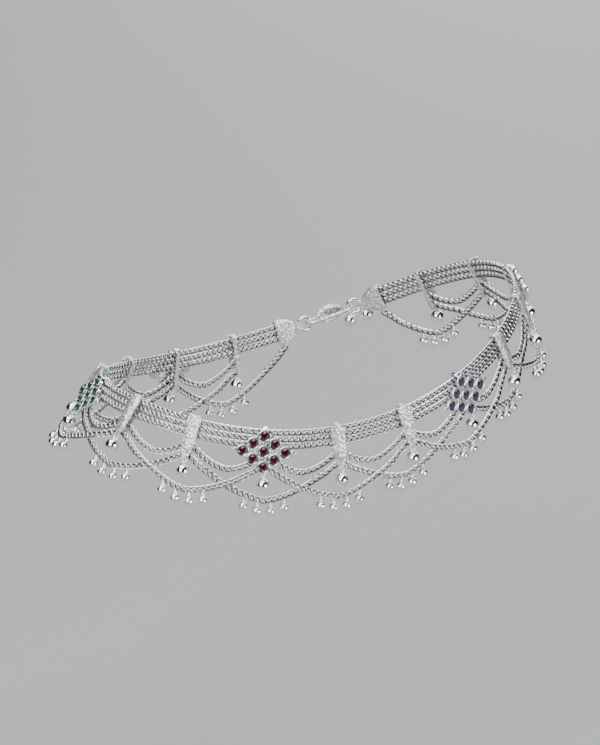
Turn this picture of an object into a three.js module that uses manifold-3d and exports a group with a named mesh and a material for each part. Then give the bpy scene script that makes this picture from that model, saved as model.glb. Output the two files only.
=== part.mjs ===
// A payal anklet in the form it takes on an ankle. Millimetres, +Z up, +X from the instep to the heel.
import * as THREE from "three";
import { mergeVertices } from "three/addons/utils/BufferGeometryUtils.js";
import Module from "manifold-3d";

const wasm = await Module();
wasm.setup();

// The worn loop, taken along the top edge of the band
const instepToHeel = 91;
const acrossAnkle = 75;
const instepDrop = 17.8; // the loop lies this much lower on the instep than at the heel
const sideSag = 11.3; // and hangs this much lower at the two sides
const flareAtInstep = 40; // degrees that the skin leans out below the band
const flareAtHeel = 22;
const flareAtSides = 0;

// Ornaments stand at equal slots round the loop, and the clasp takes the slots without one
const slotCount = 18;
const firstSlot = -4;
const lastSlot = 11;
const rosetteEvery = 3;
const slotShift = -2.4; // slot 0 stands this far past the instep's middle
const capLead = 9.9; // from the last ornament to the mouth of an end cap

// Chain and band
const chainWidth = 1.5;
const chainThickness = 0.9;
const wireSides = 8; // of a chain's tube and of the hook's wire
const bandRows = 3;
const rowPitch = 1.43;
const rowValley = 0.6; // thickness between two rows, as a share of the chain's
const bandSteps = 52;
const clearance = 0.32;

// Swags that hang from ornament to ornament
const swagSpacing = 2.4; // between the two chains behind an ornament
const shortSag = 3.9; // below its two holds
const longSag = 7.5;
const shortSagPower = 1.65; // 2 gives a parabola and 1 a plain V
const longSagPower = 1.4;
const crossingShift = 0.62; // front chains stand out, and back chains lie in, by this much
const shiftStart = 0.07; // of a stretch: where a chain starts to move off the skin's middle
const shiftEnd = 0.2;
const shortSteps = 5; // of a stretch
const longSteps = 8;

// Fringe beads under each long swag
const fringeBeads = 4;
const fringeBeadDiameter = 2.1;
const fringeSpacing = 2.45;
const fringeDrop = 2.55; // from the chain's middle to a bead's middle
const fringeRingUp = 25; // degrees that a bead's two rings of points stand off its middle
const roundSides = 10; // of every turned bead and link

// Ball drops
const ballDiameter = 2.9;
const ballRings = 4; // of faces, from pole to pole
const bailRadius = 0.6;
const bailWire = 0.32;
const wireFacets = 5; // round the wire of a bail or ring
const ballBelowBail = 1.84; // from the middle of the bail to the middle of the ball
const claspBailRadius = 0.66;
const claspBallBelow = 2;

// Bars and the strap that clips an ornament round the chains
const barTopWidth = 3.1;
const barCrown = 1.15;
const barShoulderAcross = 0.7; // of the half width: where a tongue's side turns into its back
const barShoulderUp = 0.75; // of the crown
const barPastChain = 1.35; // the tip reaches this far below the lower chain
const strapThickness = 0.32;
const strapWidth = 1;
const strapFrontLeg = 1; // of a bar, under its tongue
const foldGap = 0.2; // over the band's top edge
const barTipShare = 0.48; // of the crown
const eyeRadius = 0.43;
const eyeSides = 8;
const barEyeUp = 0.65; // from the tip up to the middle of the eye

// Rosettes of nine stones in a rhombus
const stoneDiameter = 1.9;
const bezelDiameter = 2.6;
const bezelHeight = 0.75;
const stoneFacets = 8;
const stoneHeight = 0.45; // above the bezel's rim
const tableShare = 0.55; // of the stone's diameter
const rosetteStepAcross = 2.24;
const rosetteStepDown = 1.66;
const rosetteCentre = 4.65; // below the band's top edge
const plateThickness = 0.5;
const plateMargin = 0.98; // past the middles of the outer stones
const lugRadius = 0.62;

// End caps, rings and hook
const capLength = 4.6;
const capWall = 0.35;
const capGap = 0.14; // round the band in the pocket
const capBulge = 0.4; // the cap is this much thicker than its walls need, front and back
const capTipShare = 0.45; // of the height at the mouth
const capShoulder = 0.75; // of the length: where the outline turns in
const capBevelShare = 0.25; // of the depth
const capOutlineSteps = 3;
const capPocket = 1.2;
const strandInset = 1.5; // a long chain ends this far along the underside of its cap
const strandGap = 0.15;
const ringRadius = 1.55;
const ringWire = 0.64;
const ringSides = 12;
const capEyeHole = 0.65;
const capEyeWall = 0.4;
const capEyeHeight = 0.8;
const hookBend = 1.35;
const hookWire = 0.84;
const hookOpening = 0.7;
const hookSteps = 34;
const bendSteps = 6;
const leafLength = 6.4;
const leafWidth = 3.9;
const leafHeight = 0.9;
const leafSides = 12;
const looseFit = 0.3; // between a ring and what it runs through
const claspBallSpread = 34; // degrees to each side of straight down

// Worked out from the sizes above
const bandHeight = bandRows * rowPitch;
const shortHang = bandHeight + clearance + chainWidth / 2;
const longHang = shortHang + swagSpacing;
const frontGap = chainThickness / 2 + clearance; // from the chains' middle to an ornament's back
const barTip = longHang + chainWidth / 2 + barPastChain;
const strapBackLeg = longHang + chainWidth / 2 + clearance; // to past the lower chain
const foldTop = foldGap + strapThickness; // an ornament's fold stands this far above the band
const cutDepth = 2 * (barCrown + bezelHeight + capEyeHeight); // goes through any wall that has a hole
const degrees = Math.PI / 180;

// The top edge of the band, once round the ankle, counter-clockwise from above and from the heel
class WornLoop extends THREE.Curve {
  constructor() {
    super();
    this.arcLengthDivisions = 1440;
  }
  getPoint(t, target = new THREE.Vector3()) {
    const a = 2 * Math.PI * t;
    const level = sideSag / 2 + bandHeight / 2; // puts the band's mean level at the origin
    const tilt = (instepDrop / 2) * Math.cos(a);
    const sag = sideSag * Math.sin(a) ** 2;
    return target.set(
      (instepToHeel / 2) * Math.cos(a),
      (acrossAnkle / 2) * Math.sin(a),
      level + tilt - sag,
    );
  }
  getTangent(t, target = new THREE.Vector3()) {
    const a = 2 * Math.PI * t;
    return target
      .set(
        (-instepToHeel / 2) * Math.sin(a),
        (acrossAnkle / 2) * Math.cos(a),
        (-instepDrop / 2) * Math.sin(a) - 2 * sideSag * Math.sin(a) * Math.cos(a),
      )
      .normalize();
  }
}

const loop = new WornLoop();
const loopLength = loop.getLength();
const pitch = loopLength / slotCount;
const slotAt = (slot) => loopLength / 2 + slotShift + slot * pitch;

// Point and directions of the skin where the loop is u along: along the loop, down the skin and outwards
function frameAt(u) {
  const share = THREE.MathUtils.euclideanModulo(u / loopLength, 1);
  const t = loop.getUtoTmapping(share);
  const a = 2 * Math.PI * t;
  const along = loop.getTangent(t);
  const side = Math.sin(a) ** 2;
  const flareAtEnd = Math.cos(a) > 0 ? flareAtHeel : flareAtInstep;
  const flare = (flareAtEnd * (1 - side) + flareAtSides * side) * degrees;
  const away = new THREE.Vector3(acrossAnkle * Math.cos(a), instepToHeel * Math.sin(a), 0);
  const down = away.normalize().multiplyScalar(Math.sin(flare));
  down.z -= Math.cos(flare);
  down.addScaledVector(along, -down.dot(along)).normalize();
  const out = new THREE.Vector3().crossVectors(down, along);
  return { origin: loop.getPoint(t), along, down, out };
}

// The point u along the loop, v down the skin and w off it
function place(u, v, w) {
  const f = frameAt(u);
  return f.origin.addScaledVector(f.down, v).addScaledVector(f.out, w);
}

// Gravity along the skin, as shares of along and down
function fall(u) {
  const f = frameAt(u);
  const length = Math.hypot(f.along.z, f.down.z);
  return { along: -f.along.z / length, down: -f.down.z / length };
}

// A curve on the skin: route(t) gives u, v and w. Its frames keep a section's x axis off the skin
class SkinCurve extends THREE.Curve {
  constructor(route) {
    super();
    this.route = route;
    this.arcLengthDivisions = 600;
  }
  getPoint(t, target = new THREE.Vector3()) {
    const { u, v, w } = this.route(t);
    return target.copy(place(u, v, w));
  }
  computeFrenetFrames(segments) {
    const frames = { tangents: [], normals: [], binormals: [] };
    for (let i = 0; i <= segments; i++) {
      const t = this.getUtoTmapping(i / segments);
      const tangent = this.getTangentAt(i / segments);
      const normal = frameAt(this.route(t).u).out;
      normal.addScaledVector(tangent, -normal.dot(tangent)).normalize();
      frames.tangents.push(tangent);
      frames.normals.push(normal);
      frames.binormals.push(new THREE.Vector3().crossVectors(tangent, normal));
    }
    return frames;
  }
}

// Geometry to solid and back, for cutting and joining
function solid(geometry) {
  const bare = geometry.clone();
  bare.deleteAttribute("normal");
  bare.deleteAttribute("uv");
  const merged = mergeVertices(bare, 1e-4);
  return new wasm.Manifold(
    new wasm.Mesh({
      numProp: 3,
      vertProperties: merged.attributes.position.array,
      triVerts: new Uint32Array(merged.index.array),
    }),
  );
}

function geometryOf(made) {
  const mesh = made.getMesh();
  return new THREE.BufferGeometry()
    .setAttribute("position", new THREE.BufferAttribute(new Float32Array(mesh.vertProperties), 3))
    .setIndex(new THREE.BufferAttribute(new Uint32Array(mesh.triVerts), 1));
}

const join = (...geometries) => geometries.map(solid).reduce((all, next) => all.add(next));

const extrude = (shape, depth) => new THREE.ExtrudeGeometry(shape, { depth, bevelEnabled: false });

const flatPoints = (points) => points.map(([x, y]) => new THREE.Vector2(x, y));

const polygon = (points) => new THREE.Shape(flatPoints(points));

// A piece turned round the y axis: its profile lists distances from the axis and heights
const turned = (profile, sides) => new THREE.LatheGeometry(flatPoints(profile), sides);

// A round wire or hole of few sides, along z
function disc(radius, depth, sides) {
  return new THREE.CylinderGeometry(radius, radius, depth, sides).rotateX(Math.PI / 2);
}

// Materials
const metal = (color, roughness) =>
  new THREE.MeshStandardMaterial({ color, metalness: 1, roughness });
const gem = (color) => new THREE.MeshStandardMaterial({ color, metalness: 0, roughness: 0.12 });
const chainSilver = metal(0xd6d8dc, 0.28);
const frostedSilver = metal(0xe2e2e0, 0.5);
const polishedSilver = metal(0xe6e8ea, 0.12);
const gems = [gem(0x14603a), gem(0x8c1228), gem(0x20246e)]; // emerald, ruby and sapphire by turns
const gemNames = ["emerald", "ruby", "sapphire"];

// The band: its rows of chain side by side, as one solid with a flat back and a ridge for each row
function bandSection() {
  const ridge = chainThickness / 2;
  const valley = ridge * rowValley;
  const points = [[-ridge, 0]];
  for (let row = 0; row < bandRows; row++) {
    points.push([valley, row * rowPitch]);
    points.push([ridge, (row + 0.5) * rowPitch]);
  }
  points.push([valley, bandHeight], [-ridge, bandHeight]);
  return polygon(points);
}

// The section of a chain or a wire: an oval with a corner on each axis
function wireSection(thickness, width) {
  const points = [];
  for (let k = 0; k < wireSides; k++) {
    const a = (2 * Math.PI * k) / wireSides;
    points.push([(thickness / 2) * Math.cos(a), (width / 2) * Math.sin(a)]);
  }
  return polygon(points);
}

function sweep(section, route, steps) {
  return new THREE.ExtrudeGeometry(section, { steps, extrudePath: new SkinCurve(route) });
}

const capMouths = [slotAt(firstSlot) - capLead, slotAt(lastSlot) + capLead];
const bandEnds = [capMouths[0] - capPocket + clearance, capMouths[1] + capPocket - clearance];

// A hanging stretch between two places on the skin, at the share f of its length
function hang(from, to, f, lowest, power) {
  const g = fall((from.u + to.u) / 2);
  const sag = lowest - (from.v + to.v) / 2;
  const drop = sag * (1 - Math.abs(2 * f - 1) ** power);
  return {
    u: THREE.MathUtils.lerp(from.u, to.u, f) + drop * g.along,
    v: THREE.MathUtils.lerp(from.v, to.v, f) + drop * g.down,
  };
}

// The short chain is held behind every ornament. The long chains take every second one, and each
// has its first or its last hold under a cap
const slots = Array.from({ length: lastSlot - firstSlot + 1 }, (_, i) => firstSlot + i);
const capFoot = bandHeight + capGap + capWall;
const capHang = capFoot + strandGap + chainWidth / 2;
const shortHolds = slots.map((slot) => ({ u: slotAt(slot), v: shortHang }));
const longHolds = slots.map((slot) => ({ u: slotAt(slot), v: longHang }));
const isEven = (hold, i) => i % 2 === 0;
const isOdd = (hold, i) => i % 2 === 1;
const frontStart = { u: capMouths[0] - strandInset, v: capHang };
const backFinish = { u: capMouths[1] + strandInset, v: capHang };
const frontHolds = [frontStart, ...longHolds.filter(isOdd)];
const backHolds = [...longHolds.filter(isEven), backFinish];

// A whole chain of stretches, which all hang down to the same line
function swagRoute(holds, lowest, power, shift) {
  return (t) => {
    const at = Math.min(t * (holds.length - 1), holds.length - 1 - 1e-9);
    const i = Math.floor(at);
    const f = at - i;
    const spot = hang(holds[i], holds[i + 1], f, lowest, power);
    const free = THREE.MathUtils.smoothstep(Math.min(f, 1 - f), shiftStart, shiftEnd);
    return { ...spot, w: shift * free };
  };
}

// A bead with a neck that tapers up into its chain at the origin, in one turned piece along -y
function fringeBead() {
  const r = fringeBeadDiameter / 2;
  const across = r * Math.cos(fringeRingUp * degrees);
  const up = r * Math.sin(fringeRingUp * degrees);
  const profile = [
    [0, -fringeDrop - r],
    [across, -fringeDrop - up],
    [across, -fringeDrop + up],
    [0, chainWidth / 4],
  ];
  return turned(profile, roundSides);
}

function hangFrom(geometry, u, v, w) {
  const f = frameAt(u);
  const g = fall(u);
  const up = f.along.clone().multiplyScalar(-g.along).addScaledVector(f.down, -g.down);
  const across = new THREE.Vector3().crossVectors(up, f.out);
  const matrix = new THREE.Matrix4().makeBasis(across, up, f.out);
  matrix.setPosition(place(u, v, w));
  return geometry.clone().applyMatrix4(matrix);
}

// A long swag chain with its beads, which hang at the lowest part of every stretch
function longChain(holds, shift) {
  const stretches = holds.length - 1;
  const route = swagRoute(holds, longHang + longSag, longSagPower, shift);
  const pieces = [sweep(wireSection(chainThickness, chainWidth), route, longSteps * stretches)];
  const bead = fringeBead();
  for (let i = 0; i < stretches; i++) {
    const span = holds[i + 1].u - holds[i].u;
    for (let k = 0; k < fringeBeads; k++) {
      const offset = (k - (fringeBeads - 1) / 2) * fringeSpacing;
      const spot = route((i + 0.5 + offset / span) / stretches);
      pieces.push(hangFrom(bead, spot.u, spot.v, spot.w));
    }
  }
  return geometryOf(join(...pieces));
}

// The strap: a front leg, a fold over the band's top edge and a back leg behind the chains
function strap(frontLeg) {
  const outer = frontGap + strapThickness;
  const profile = polygon([
    [frontGap, -frontLeg],
    [outer, -frontLeg],
    [outer, foldTop],
    [-outer, foldTop],
    [-outer, -strapBackLeg],
    [-frontGap, -strapBackLeg],
    [-frontGap, foldGap],
    [frontGap, foldGap],
  ]);
  const geometry = extrude(profile, strapWidth);
  return geometry.translate(0, 0, -strapWidth / 2).rotateY(-Math.PI / 2);
}

// A closed solid through sections, each a ring of as many points
function loft(sections) {
  const sides = sections[0].length;
  const index = [];
  for (let i = 0; i + 1 < sections.length; i++) {
    for (let k = 0; k < sides; k++) {
      const [a, b] = [i * sides + k, i * sides + ((k + 1) % sides)];
      index.push(a, b, a + sides, b, b + sides, a + sides);
    }
  }
  const last = (sections.length - 1) * sides;
  for (let k = 1; k + 1 < sides; k++) {
    index.push(0, k + 1, k, last, last + k, last + k + 1);
  }
  const points = sections.flat().map(([x, y, z]) => new THREE.Vector3(x, y, z));
  return new THREE.BufferGeometry().setFromPoints(points).setIndex(index);
}

// The tongue of a bar, as shares of its length, top width and crown
const barSections = [
  { at: 0, width: 0.75, crown: 0.6 },
  { at: 0.1, width: 1, crown: 1 },
  { at: 0.42, width: 0.88, crown: 0.92 },
  { at: 0.64, width: 0.92, crown: 1 },
  { at: 0.85, width: 0.68, crown: 0.78 },
  { at: 1, width: 0.45, crown: barTipShare },
];

function barGeometry() {
  const length = foldTop + barTip;
  const rings = barSections.map(({ at, width, crown }) => {
    const y = foldTop - at * length;
    const half = (width * barTopWidth) / 2;
    const top = frontGap + crown * barCrown;
    const shoulder = frontGap + crown * barCrown * barShoulderUp;
    return [
      [half, y, frontGap],
      [half * barShoulderAcross, y, shoulder],
      [0, y, top],
      [-half * barShoulderAcross, y, shoulder],
      [-half, y, frontGap],
    ];
  });
  const eye = disc(eyeRadius, cutDepth, eyeSides).translate(0, barEyeUp - barTip, frontGap);
  return geometryOf(join(loft(rings), strap(strapFrontLeg)).subtract(solid(eye)));
}

// Bezel and stone in one turned piece, its foot at z 0
function stoneInBezel() {
  const profile = [
    [0, 0],
    [bezelDiameter / 2, 0],
    [bezelDiameter / 2, bezelHeight],
    [stoneDiameter / 2, bezelHeight],
    [(tableShare * stoneDiameter) / 2, bezelHeight + stoneHeight],
    [0, bezelHeight + stoneHeight],
  ];
  return turned(profile, stoneFacets).rotateX(Math.PI / 2);
}

const rosettePlaces = [];
for (let i = -1; i <= 1; i++) {
  for (let j = -1; j <= 1; j++) {
    rosettePlaces.push([(i + j) * rosetteStepAcross, (i - j) * rosetteStepDown - rosetteCentre]);
  }
}

const rosetteEye = rosetteCentre + 2 * rosetteStepDown + bezelDiameter / 2 + eyeRadius / 2;

function rosetteGeometry() {
  const across = 2 * rosetteStepAcross + plateMargin;
  const down = 2 * rosetteStepDown + plateMargin;
  const outline = polygon([
    [across, -rosetteCentre],
    [0, down - rosetteCentre],
    [-across, -rosetteCentre],
    [0, -down - rosetteCentre],
  ]);
  const plate = extrude(outline, plateThickness).translate(0, 0, frontGap);
  const middle = frontGap + plateThickness / 2;
  const stones = rosettePlaces.map(([x, y]) => stoneInBezel().translate(x, y, middle));
  const lug = disc(lugRadius, plateThickness, roundSides).translate(0, -rosetteEye, middle);
  const eye = disc(eyeRadius, cutDepth, eyeSides).translate(0, -rosetteEye, middle);
  const whole = join(plate, ...stones, lug, strap(rosetteCentre));
  return geometryOf(whole.subtract(solid(eye)));
}

// A ball on its bail, hung with the middle of the bail at the origin. The bail lies in the y-z plane
function ballDrop(radius, below) {
  const profile = new THREE.Path();
  profile.absarc(0, 0, ballDiameter / 2, -Math.PI / 2, Math.PI / 2, false);
  const points = profile.getSpacedPoints(ballRings);
  points[0].x = 0;
  points[ballRings].x = 0;
  const ball = new THREE.LatheGeometry(points, roundSides).translate(0, -below, 0);
  const bail = new THREE.TorusGeometry(radius, bailWire / 2, wireFacets, roundSides);
  bail.rotateY(Math.PI / 2);
  return geometryOf(join(ball, bail));
}

// An end cap: a tapering shell with a pocket for the strands at x 0 and an eye past its tip.
// The side is 1 where the cap runs on along the loop and -1 where it runs back
const capHeight = bandHeight + 2 * capGap + 2 * capWall;
const pocketDepth = chainThickness + 2 * capGap;
const capDepth = pocketDepth + 2 * capWall + 2 * capBulge;

function capGeometry(side) {
  const half = capHeight / 2;
  const tip = half * capTipShare;
  const shape = new THREE.Shape();
  shape.moveTo(0, half);
  shape.quadraticCurveTo(side * capShoulder * capLength, half, side * capLength, tip);
  shape.lineTo(side * capLength, -tip);
  shape.quadraticCurveTo(side * capShoulder * capLength, -half, 0, -half);
  shape.closePath();
  const bevel = capBevelShare * capDepth;
  const body = new THREE.ExtrudeGeometry(shape, {
    depth: capDepth - bevel,
    bevelThickness: bevel / 2,
    bevelSize: bevel / 2,
    bevelOffset: -bevel / 2,
    bevelSegments: 1,
    curveSegments: capOutlineSteps,
  });
  body.translate(0, -bandHeight / 2, (bevel - capDepth) / 2);
  const pocket = new THREE.BoxGeometry(2 * capPocket, capHeight - 2 * capWall, pocketDepth);
  pocket.translate(0, -bandHeight / 2, 0);
  const eyeAt = side * (capLength + capEyeHole);
  const eyeOuter = capEyeHole + capEyeWall;
  const eye = new THREE.CylinderGeometry(eyeOuter, eyeOuter, capEyeHeight, roundSides);
  const hole = new THREE.CylinderGeometry(capEyeHole, capEyeHole, cutDepth, roundSides);
  eye.translate(eyeAt, -bandHeight / 2, 0);
  hole.translate(eyeAt, -bandHeight / 2, 0);
  return geometryOf(join(body, eye).subtract(solid(pocket)).subtract(solid(hole)));
}

// The middle of a cap's eye
function capEye(end) {
  const side = end === 0 ? -1 : 1;
  const f = frameAt(capMouths[end]);
  const ahead = side * (capLength + capEyeHole);
  return f.origin.addScaledVector(f.along, ahead).addScaledVector(f.down, bandHeight / 2);
}

// Both rings and the hook lie on the line between the two eyes
const eyes = [capEye(1), capEye(0)];
const eyeReach = eyes[0].distanceTo(eyes[1]) / 2;
const ringMiddle = eyeReach - capEyeHole - ringRadius + ringWire / 2 + looseFit;
const hookLength = 2 * (ringMiddle - ringRadius + ringWire / 2 + looseFit / 2) + hookWire;

// The leaf's profile, as shares of its half length or width and of its height
const leafDome = [
  [0, -0.4],
  [1, -0.4],
  [0.94, 0.35],
  [0.6, 0.8],
  [0, 1],
];

// The hook: a long bent wire with an opening beside its ornamental leaf, in the x-z plane
function hookGeometry() {
  const bendMiddle = hookLength / 2 - hookBend;
  const wireEnd = -leafLength / 2 - hookOpening;
  const points = [new THREE.Vector3(0, 0, hookBend)];
  for (const side of [1, -1]) {
    for (let k = 0; k <= bendSteps; k++) {
      const a = side * (Math.PI / 2 - (Math.PI * k) / bendSteps);
      const x = side * (bendMiddle + hookBend * Math.cos(a));
      points.push(new THREE.Vector3(x, 0, hookBend * Math.sin(a)));
    }
  }
  points.push(new THREE.Vector3(wireEnd, 0, hookBend));
  const path = new THREE.CatmullRomCurve3(points, false, "centripetal");
  const section = wireSection(hookWire, hookWire);
  const wire = new THREE.ExtrudeGeometry(section, { steps: hookSteps, extrudePath: path });
  const leaf = turned(leafDome, leafSides).rotateX(Math.PI / 2);
  leaf.scale(leafLength / 2, leafWidth / 2, leafHeight);
  leaf.translate(0, 0, hookBend);
  return geometryOf(join(wire, leaf));
}

// The anklet
const anklet = new THREE.Group();

function add(parent, name, geometry, material) {
  const mesh = new THREE.Mesh(geometry, material);
  mesh.name = name;
  parent.add(mesh);
  return mesh;
}

function groupAt(u) {
  const f = frameAt(u);
  const group = new THREE.Group();
  const basis = new THREE.Matrix4().makeBasis(f.along, f.down.clone().negate(), f.out);
  group.quaternion.setFromRotationMatrix(basis);
  group.position.copy(f.origin);
  anklet.add(group);
  return group;
}

const bandRoute = (t) => ({ u: THREE.MathUtils.lerp(...bandEnds, t), v: 0, w: 0 });
add(anklet, "band", sweep(bandSection(), bandRoute, bandSteps), chainSilver);

const shortRoute = swagRoute(shortHolds, shortHang + shortSag, shortSagPower, 0);
const shortSection = wireSection(chainThickness, chainWidth);
const shortChain = sweep(shortSection, shortRoute, shortSteps * (shortHolds.length - 1));
add(anklet, "short_swag_chain", shortChain, chainSilver);
add(anklet, "front_swag_chain", longChain(frontHolds, crossingShift), chainSilver);
add(anklet, "back_swag_chain", longChain(backHolds, -crossingShift), chainSilver);

const bar = barGeometry();
const rosette = rosetteGeometry();
const drop = ballDrop(bailRadius, ballBelowBail);
let barNumber = 0;
let rosetteNumber = 0;
slots.forEach((slot, i) => {
  const u = slotAt(slot);
  const group = groupAt(u);
  const turn = slot / rosetteEvery;
  const hasStones = Number.isInteger(turn);
  if (hasStones) {
    const kind = THREE.MathUtils.euclideanModulo(turn, gems.length);
    rosetteNumber += 1;
    add(group, `${gemNames[kind]}_rosette_${rosetteNumber}`, rosette, gems[kind]);
  } else {
    barNumber += 1;
    add(group, `bar_${barNumber}`, bar, frostedSilver);
  }
  const thickness = hasStones ? plateThickness : barTipShare * barCrown;
  const eyeLine = hasStones ? rosetteEye : barTip - barEyeUp;
  const hangingAngle = Math.atan2(fall(u).along, fall(u).down);
  const hanger = new THREE.Group();
  hanger.position.set(0, -eyeLine, frontGap + thickness / 2);
  hanger.rotation.z = hangingAngle;
  group.add(hanger);
  add(hanger, `ball_drop_${i + 1}`, drop, polishedSilver).position.y = -bailRadius;
});

const clasp = new THREE.Group();
const claspAlong = eyes[1].clone().sub(eyes[0]).normalize();
const claspOut = frameAt((capMouths[1] + capMouths[0] + loopLength) / 2).out;
claspOut.addScaledVector(claspAlong, -claspOut.dot(claspAlong)).normalize();
const claspUp = new THREE.Vector3().crossVectors(claspOut, claspAlong);
const claspTurn = new THREE.Matrix4().makeBasis(claspAlong, claspUp, claspOut);
clasp.quaternion.setFromRotationMatrix(claspTurn);
clasp.position.addVectors(eyes[0], eyes[1]).multiplyScalar(0.5);
anklet.add(clasp);
add(clasp, "clasp_hook", hookGeometry(), frostedSilver);
const ring = new THREE.TorusGeometry(ringRadius, ringWire / 2, wireFacets, ringSides);
add(clasp, "heel_side_ring", ring, polishedSilver).position.x = -ringMiddle;
add(clasp, "instep_side_ring", ring, polishedSilver).position.x = ringMiddle;
const claspDrop = ballDrop(claspBailRadius, claspBallBelow);
[-1, 1].forEach((side, i) => {
  const ball = add(clasp, `clasp_ball_${i + 1}`, claspDrop, polishedSilver);
  const angle = side * claspBallSpread * degrees;
  ball.position.x = ringRadius * Math.sin(angle) - ringMiddle;
  ball.position.y = -ringRadius * Math.cos(angle);
  ball.rotation.z = angle;
});

add(groupAt(capMouths[0]), "instep_side_cap", capGeometry(-1), frostedSilver);
add(groupAt(capMouths[1]), "heel_side_cap", capGeometry(1), frostedSilver);

export default anklet;
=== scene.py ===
import math

import bpy
import numpy as np
from mathutils import Matrix, Vector


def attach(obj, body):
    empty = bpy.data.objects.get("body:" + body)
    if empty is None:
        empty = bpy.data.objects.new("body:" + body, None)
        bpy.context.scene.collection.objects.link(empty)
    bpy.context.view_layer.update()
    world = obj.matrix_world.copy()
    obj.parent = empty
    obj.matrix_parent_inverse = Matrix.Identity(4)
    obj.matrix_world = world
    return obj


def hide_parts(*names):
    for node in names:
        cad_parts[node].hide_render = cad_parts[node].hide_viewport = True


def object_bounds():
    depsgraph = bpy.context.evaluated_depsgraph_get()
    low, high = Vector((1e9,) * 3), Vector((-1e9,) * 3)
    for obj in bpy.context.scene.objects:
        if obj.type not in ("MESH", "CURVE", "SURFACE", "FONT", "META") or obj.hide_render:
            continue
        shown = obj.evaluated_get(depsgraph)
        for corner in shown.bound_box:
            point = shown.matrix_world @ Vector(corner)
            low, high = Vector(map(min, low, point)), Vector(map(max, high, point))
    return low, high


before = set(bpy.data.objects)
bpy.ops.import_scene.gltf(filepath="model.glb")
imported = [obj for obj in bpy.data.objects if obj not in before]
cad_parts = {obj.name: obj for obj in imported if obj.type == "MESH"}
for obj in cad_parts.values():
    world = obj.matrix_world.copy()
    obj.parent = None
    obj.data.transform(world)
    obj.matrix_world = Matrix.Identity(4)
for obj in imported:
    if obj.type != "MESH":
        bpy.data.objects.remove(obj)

mm = 0.001
quarterTurn = math.pi / 2
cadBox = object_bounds()

# The form that the anklet takes on an ankle, and the places of its ornaments
worn = {
    "instepToHeel": 91 * mm,
    "acrossAnkle": 75 * mm,
    "instepDrop": 17.8 * mm,
    "sideSag": 11.3 * mm,
    "flareAtInstep": 40,
    "flareAtHeel": 22,
    "flareAtSides": 0,
    "slotCount": 18,
    "firstSlot": -4,
    "lastSlot": 11,
    "rosetteEvery": 3,
    "slotShift": -2.4 * mm,
    "capLead": 9.9 * mm,
}
chain = {"width": 1.52 * mm, "thickness": 0.9 * mm, "wire": 0.42 * mm}
band = {
    "rows": 3,
    "rowPitch": 1.43 * mm,
    "clearance": 0.32 * mm,
    "inset": 0.9 * mm,
    "steps": 1500,
}
swag = {
    "spacing": 2.4 * mm,
    "shortSag": 3.9 * mm,
    "longSag": 7.5 * mm,
    "shortPower": 1.65,
    "longPower": 1.4,
    "crossingShift": 0.62 * mm,
    "shiftStart": 0.07,
    "shiftEnd": 0.2,
    "strandInset": 1.5 * mm,
    "strandGap": 0.15 * mm,
    "steps": 160,
}

bandHeight = band["rows"] * band["rowPitch"]
shortHang = bandHeight + band["clearance"] + chain["width"] / 2
longHang = shortHang + swag["spacing"]
frontGap = chain["thickness"] / 2 + band["clearance"]
slots = list(range(worn["firstSlot"], worn["lastSlot"] + 1))


def loopPoint(angle):
    level = worn["sideSag"] / 2 + bandHeight / 2
    height = level + worn["instepDrop"] / 2 * np.cos(angle) - worn["sideSag"] * np.sin(angle) ** 2
    x = worn["instepToHeel"] / 2 * np.cos(angle)
    y = worn["acrossAnkle"] / 2 * np.sin(angle)
    return np.stack([x, y, height], axis=-1)


tableSteps = 2881
angleTable = np.linspace(0, 2 * math.pi, tableSteps)
arcSteps = np.linalg.norm(np.diff(loopPoint(angleTable), axis=0), axis=1)
arcTable = np.concatenate([[0], np.cumsum(arcSteps)])
loopLength = arcTable[-1]
slotPitch = loopLength / worn["slotCount"]


def slotAt(slot):
    return loopLength / 2 + worn["slotShift"] + slot * slotPitch


def unit(vectors):
    return vectors / np.linalg.norm(vectors, axis=-1, keepdims=True)


# Point and directions of the skin: along the loop, down the skin and outwards
def skinAt(u):
    angle = np.interp(np.mod(u, loopLength), arcTable, angleTable)
    sine = np.sin(angle)
    cosine = np.cos(angle)
    forward = -worn["instepToHeel"] / 2 * sine
    sideways = worn["acrossAnkle"] / 2 * cosine
    rise = -worn["instepDrop"] / 2 * sine - 2 * worn["sideSag"] * sine * cosine
    along = unit(np.stack([forward, sideways, rise], axis=-1))
    flareAtEnd = np.where(cosine > 0, worn["flareAtHeel"], worn["flareAtInstep"])
    flare = np.radians(flareAtEnd * (1 - sine ** 2) + worn["flareAtSides"] * sine ** 2)
    across = worn["acrossAnkle"] * cosine
    away = unit(np.stack([across, worn["instepToHeel"] * sine, 0 * cosine], axis=-1))
    down = away * np.sin(flare)[..., None]
    down[..., 2] -= np.cos(flare)
    down = unit(down - np.sum(down * along, axis=-1, keepdims=True) * along)
    return loopPoint(angle), along, down, np.cross(down, along)


def onSkin(u, v, w):
    origin, along, down, out = skinAt(u)
    return origin + down * np.asarray(v)[..., None] + out * np.asarray(w)[..., None]


# Gravity in the skin, as shares of along and down
def fallAt(u):
    origin, along, down, out = skinAt(u)
    length = np.hypot(along[..., 2], down[..., 2])
    return -along[..., 2] / length, -down[..., 2] / length


# A place is a 4 x 4 matrix, here from the directions of its x, y and z and from its origin
def makePlace(x, y, z, origin):
    place = Matrix.Identity(4)
    for row in range(3):
        place[row][0] = x[row]
        place[row][1] = y[row]
        place[row][2] = z[row]
        place[row][3] = origin[row]
    return place


# A place on the skin: x along the loop, y up the skin and z off it
def placeAt(u, v=0.0):
    origin, along, down, out = skinAt(np.float64(u))
    return makePlace(along, -down, out, origin + down * v)


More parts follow.
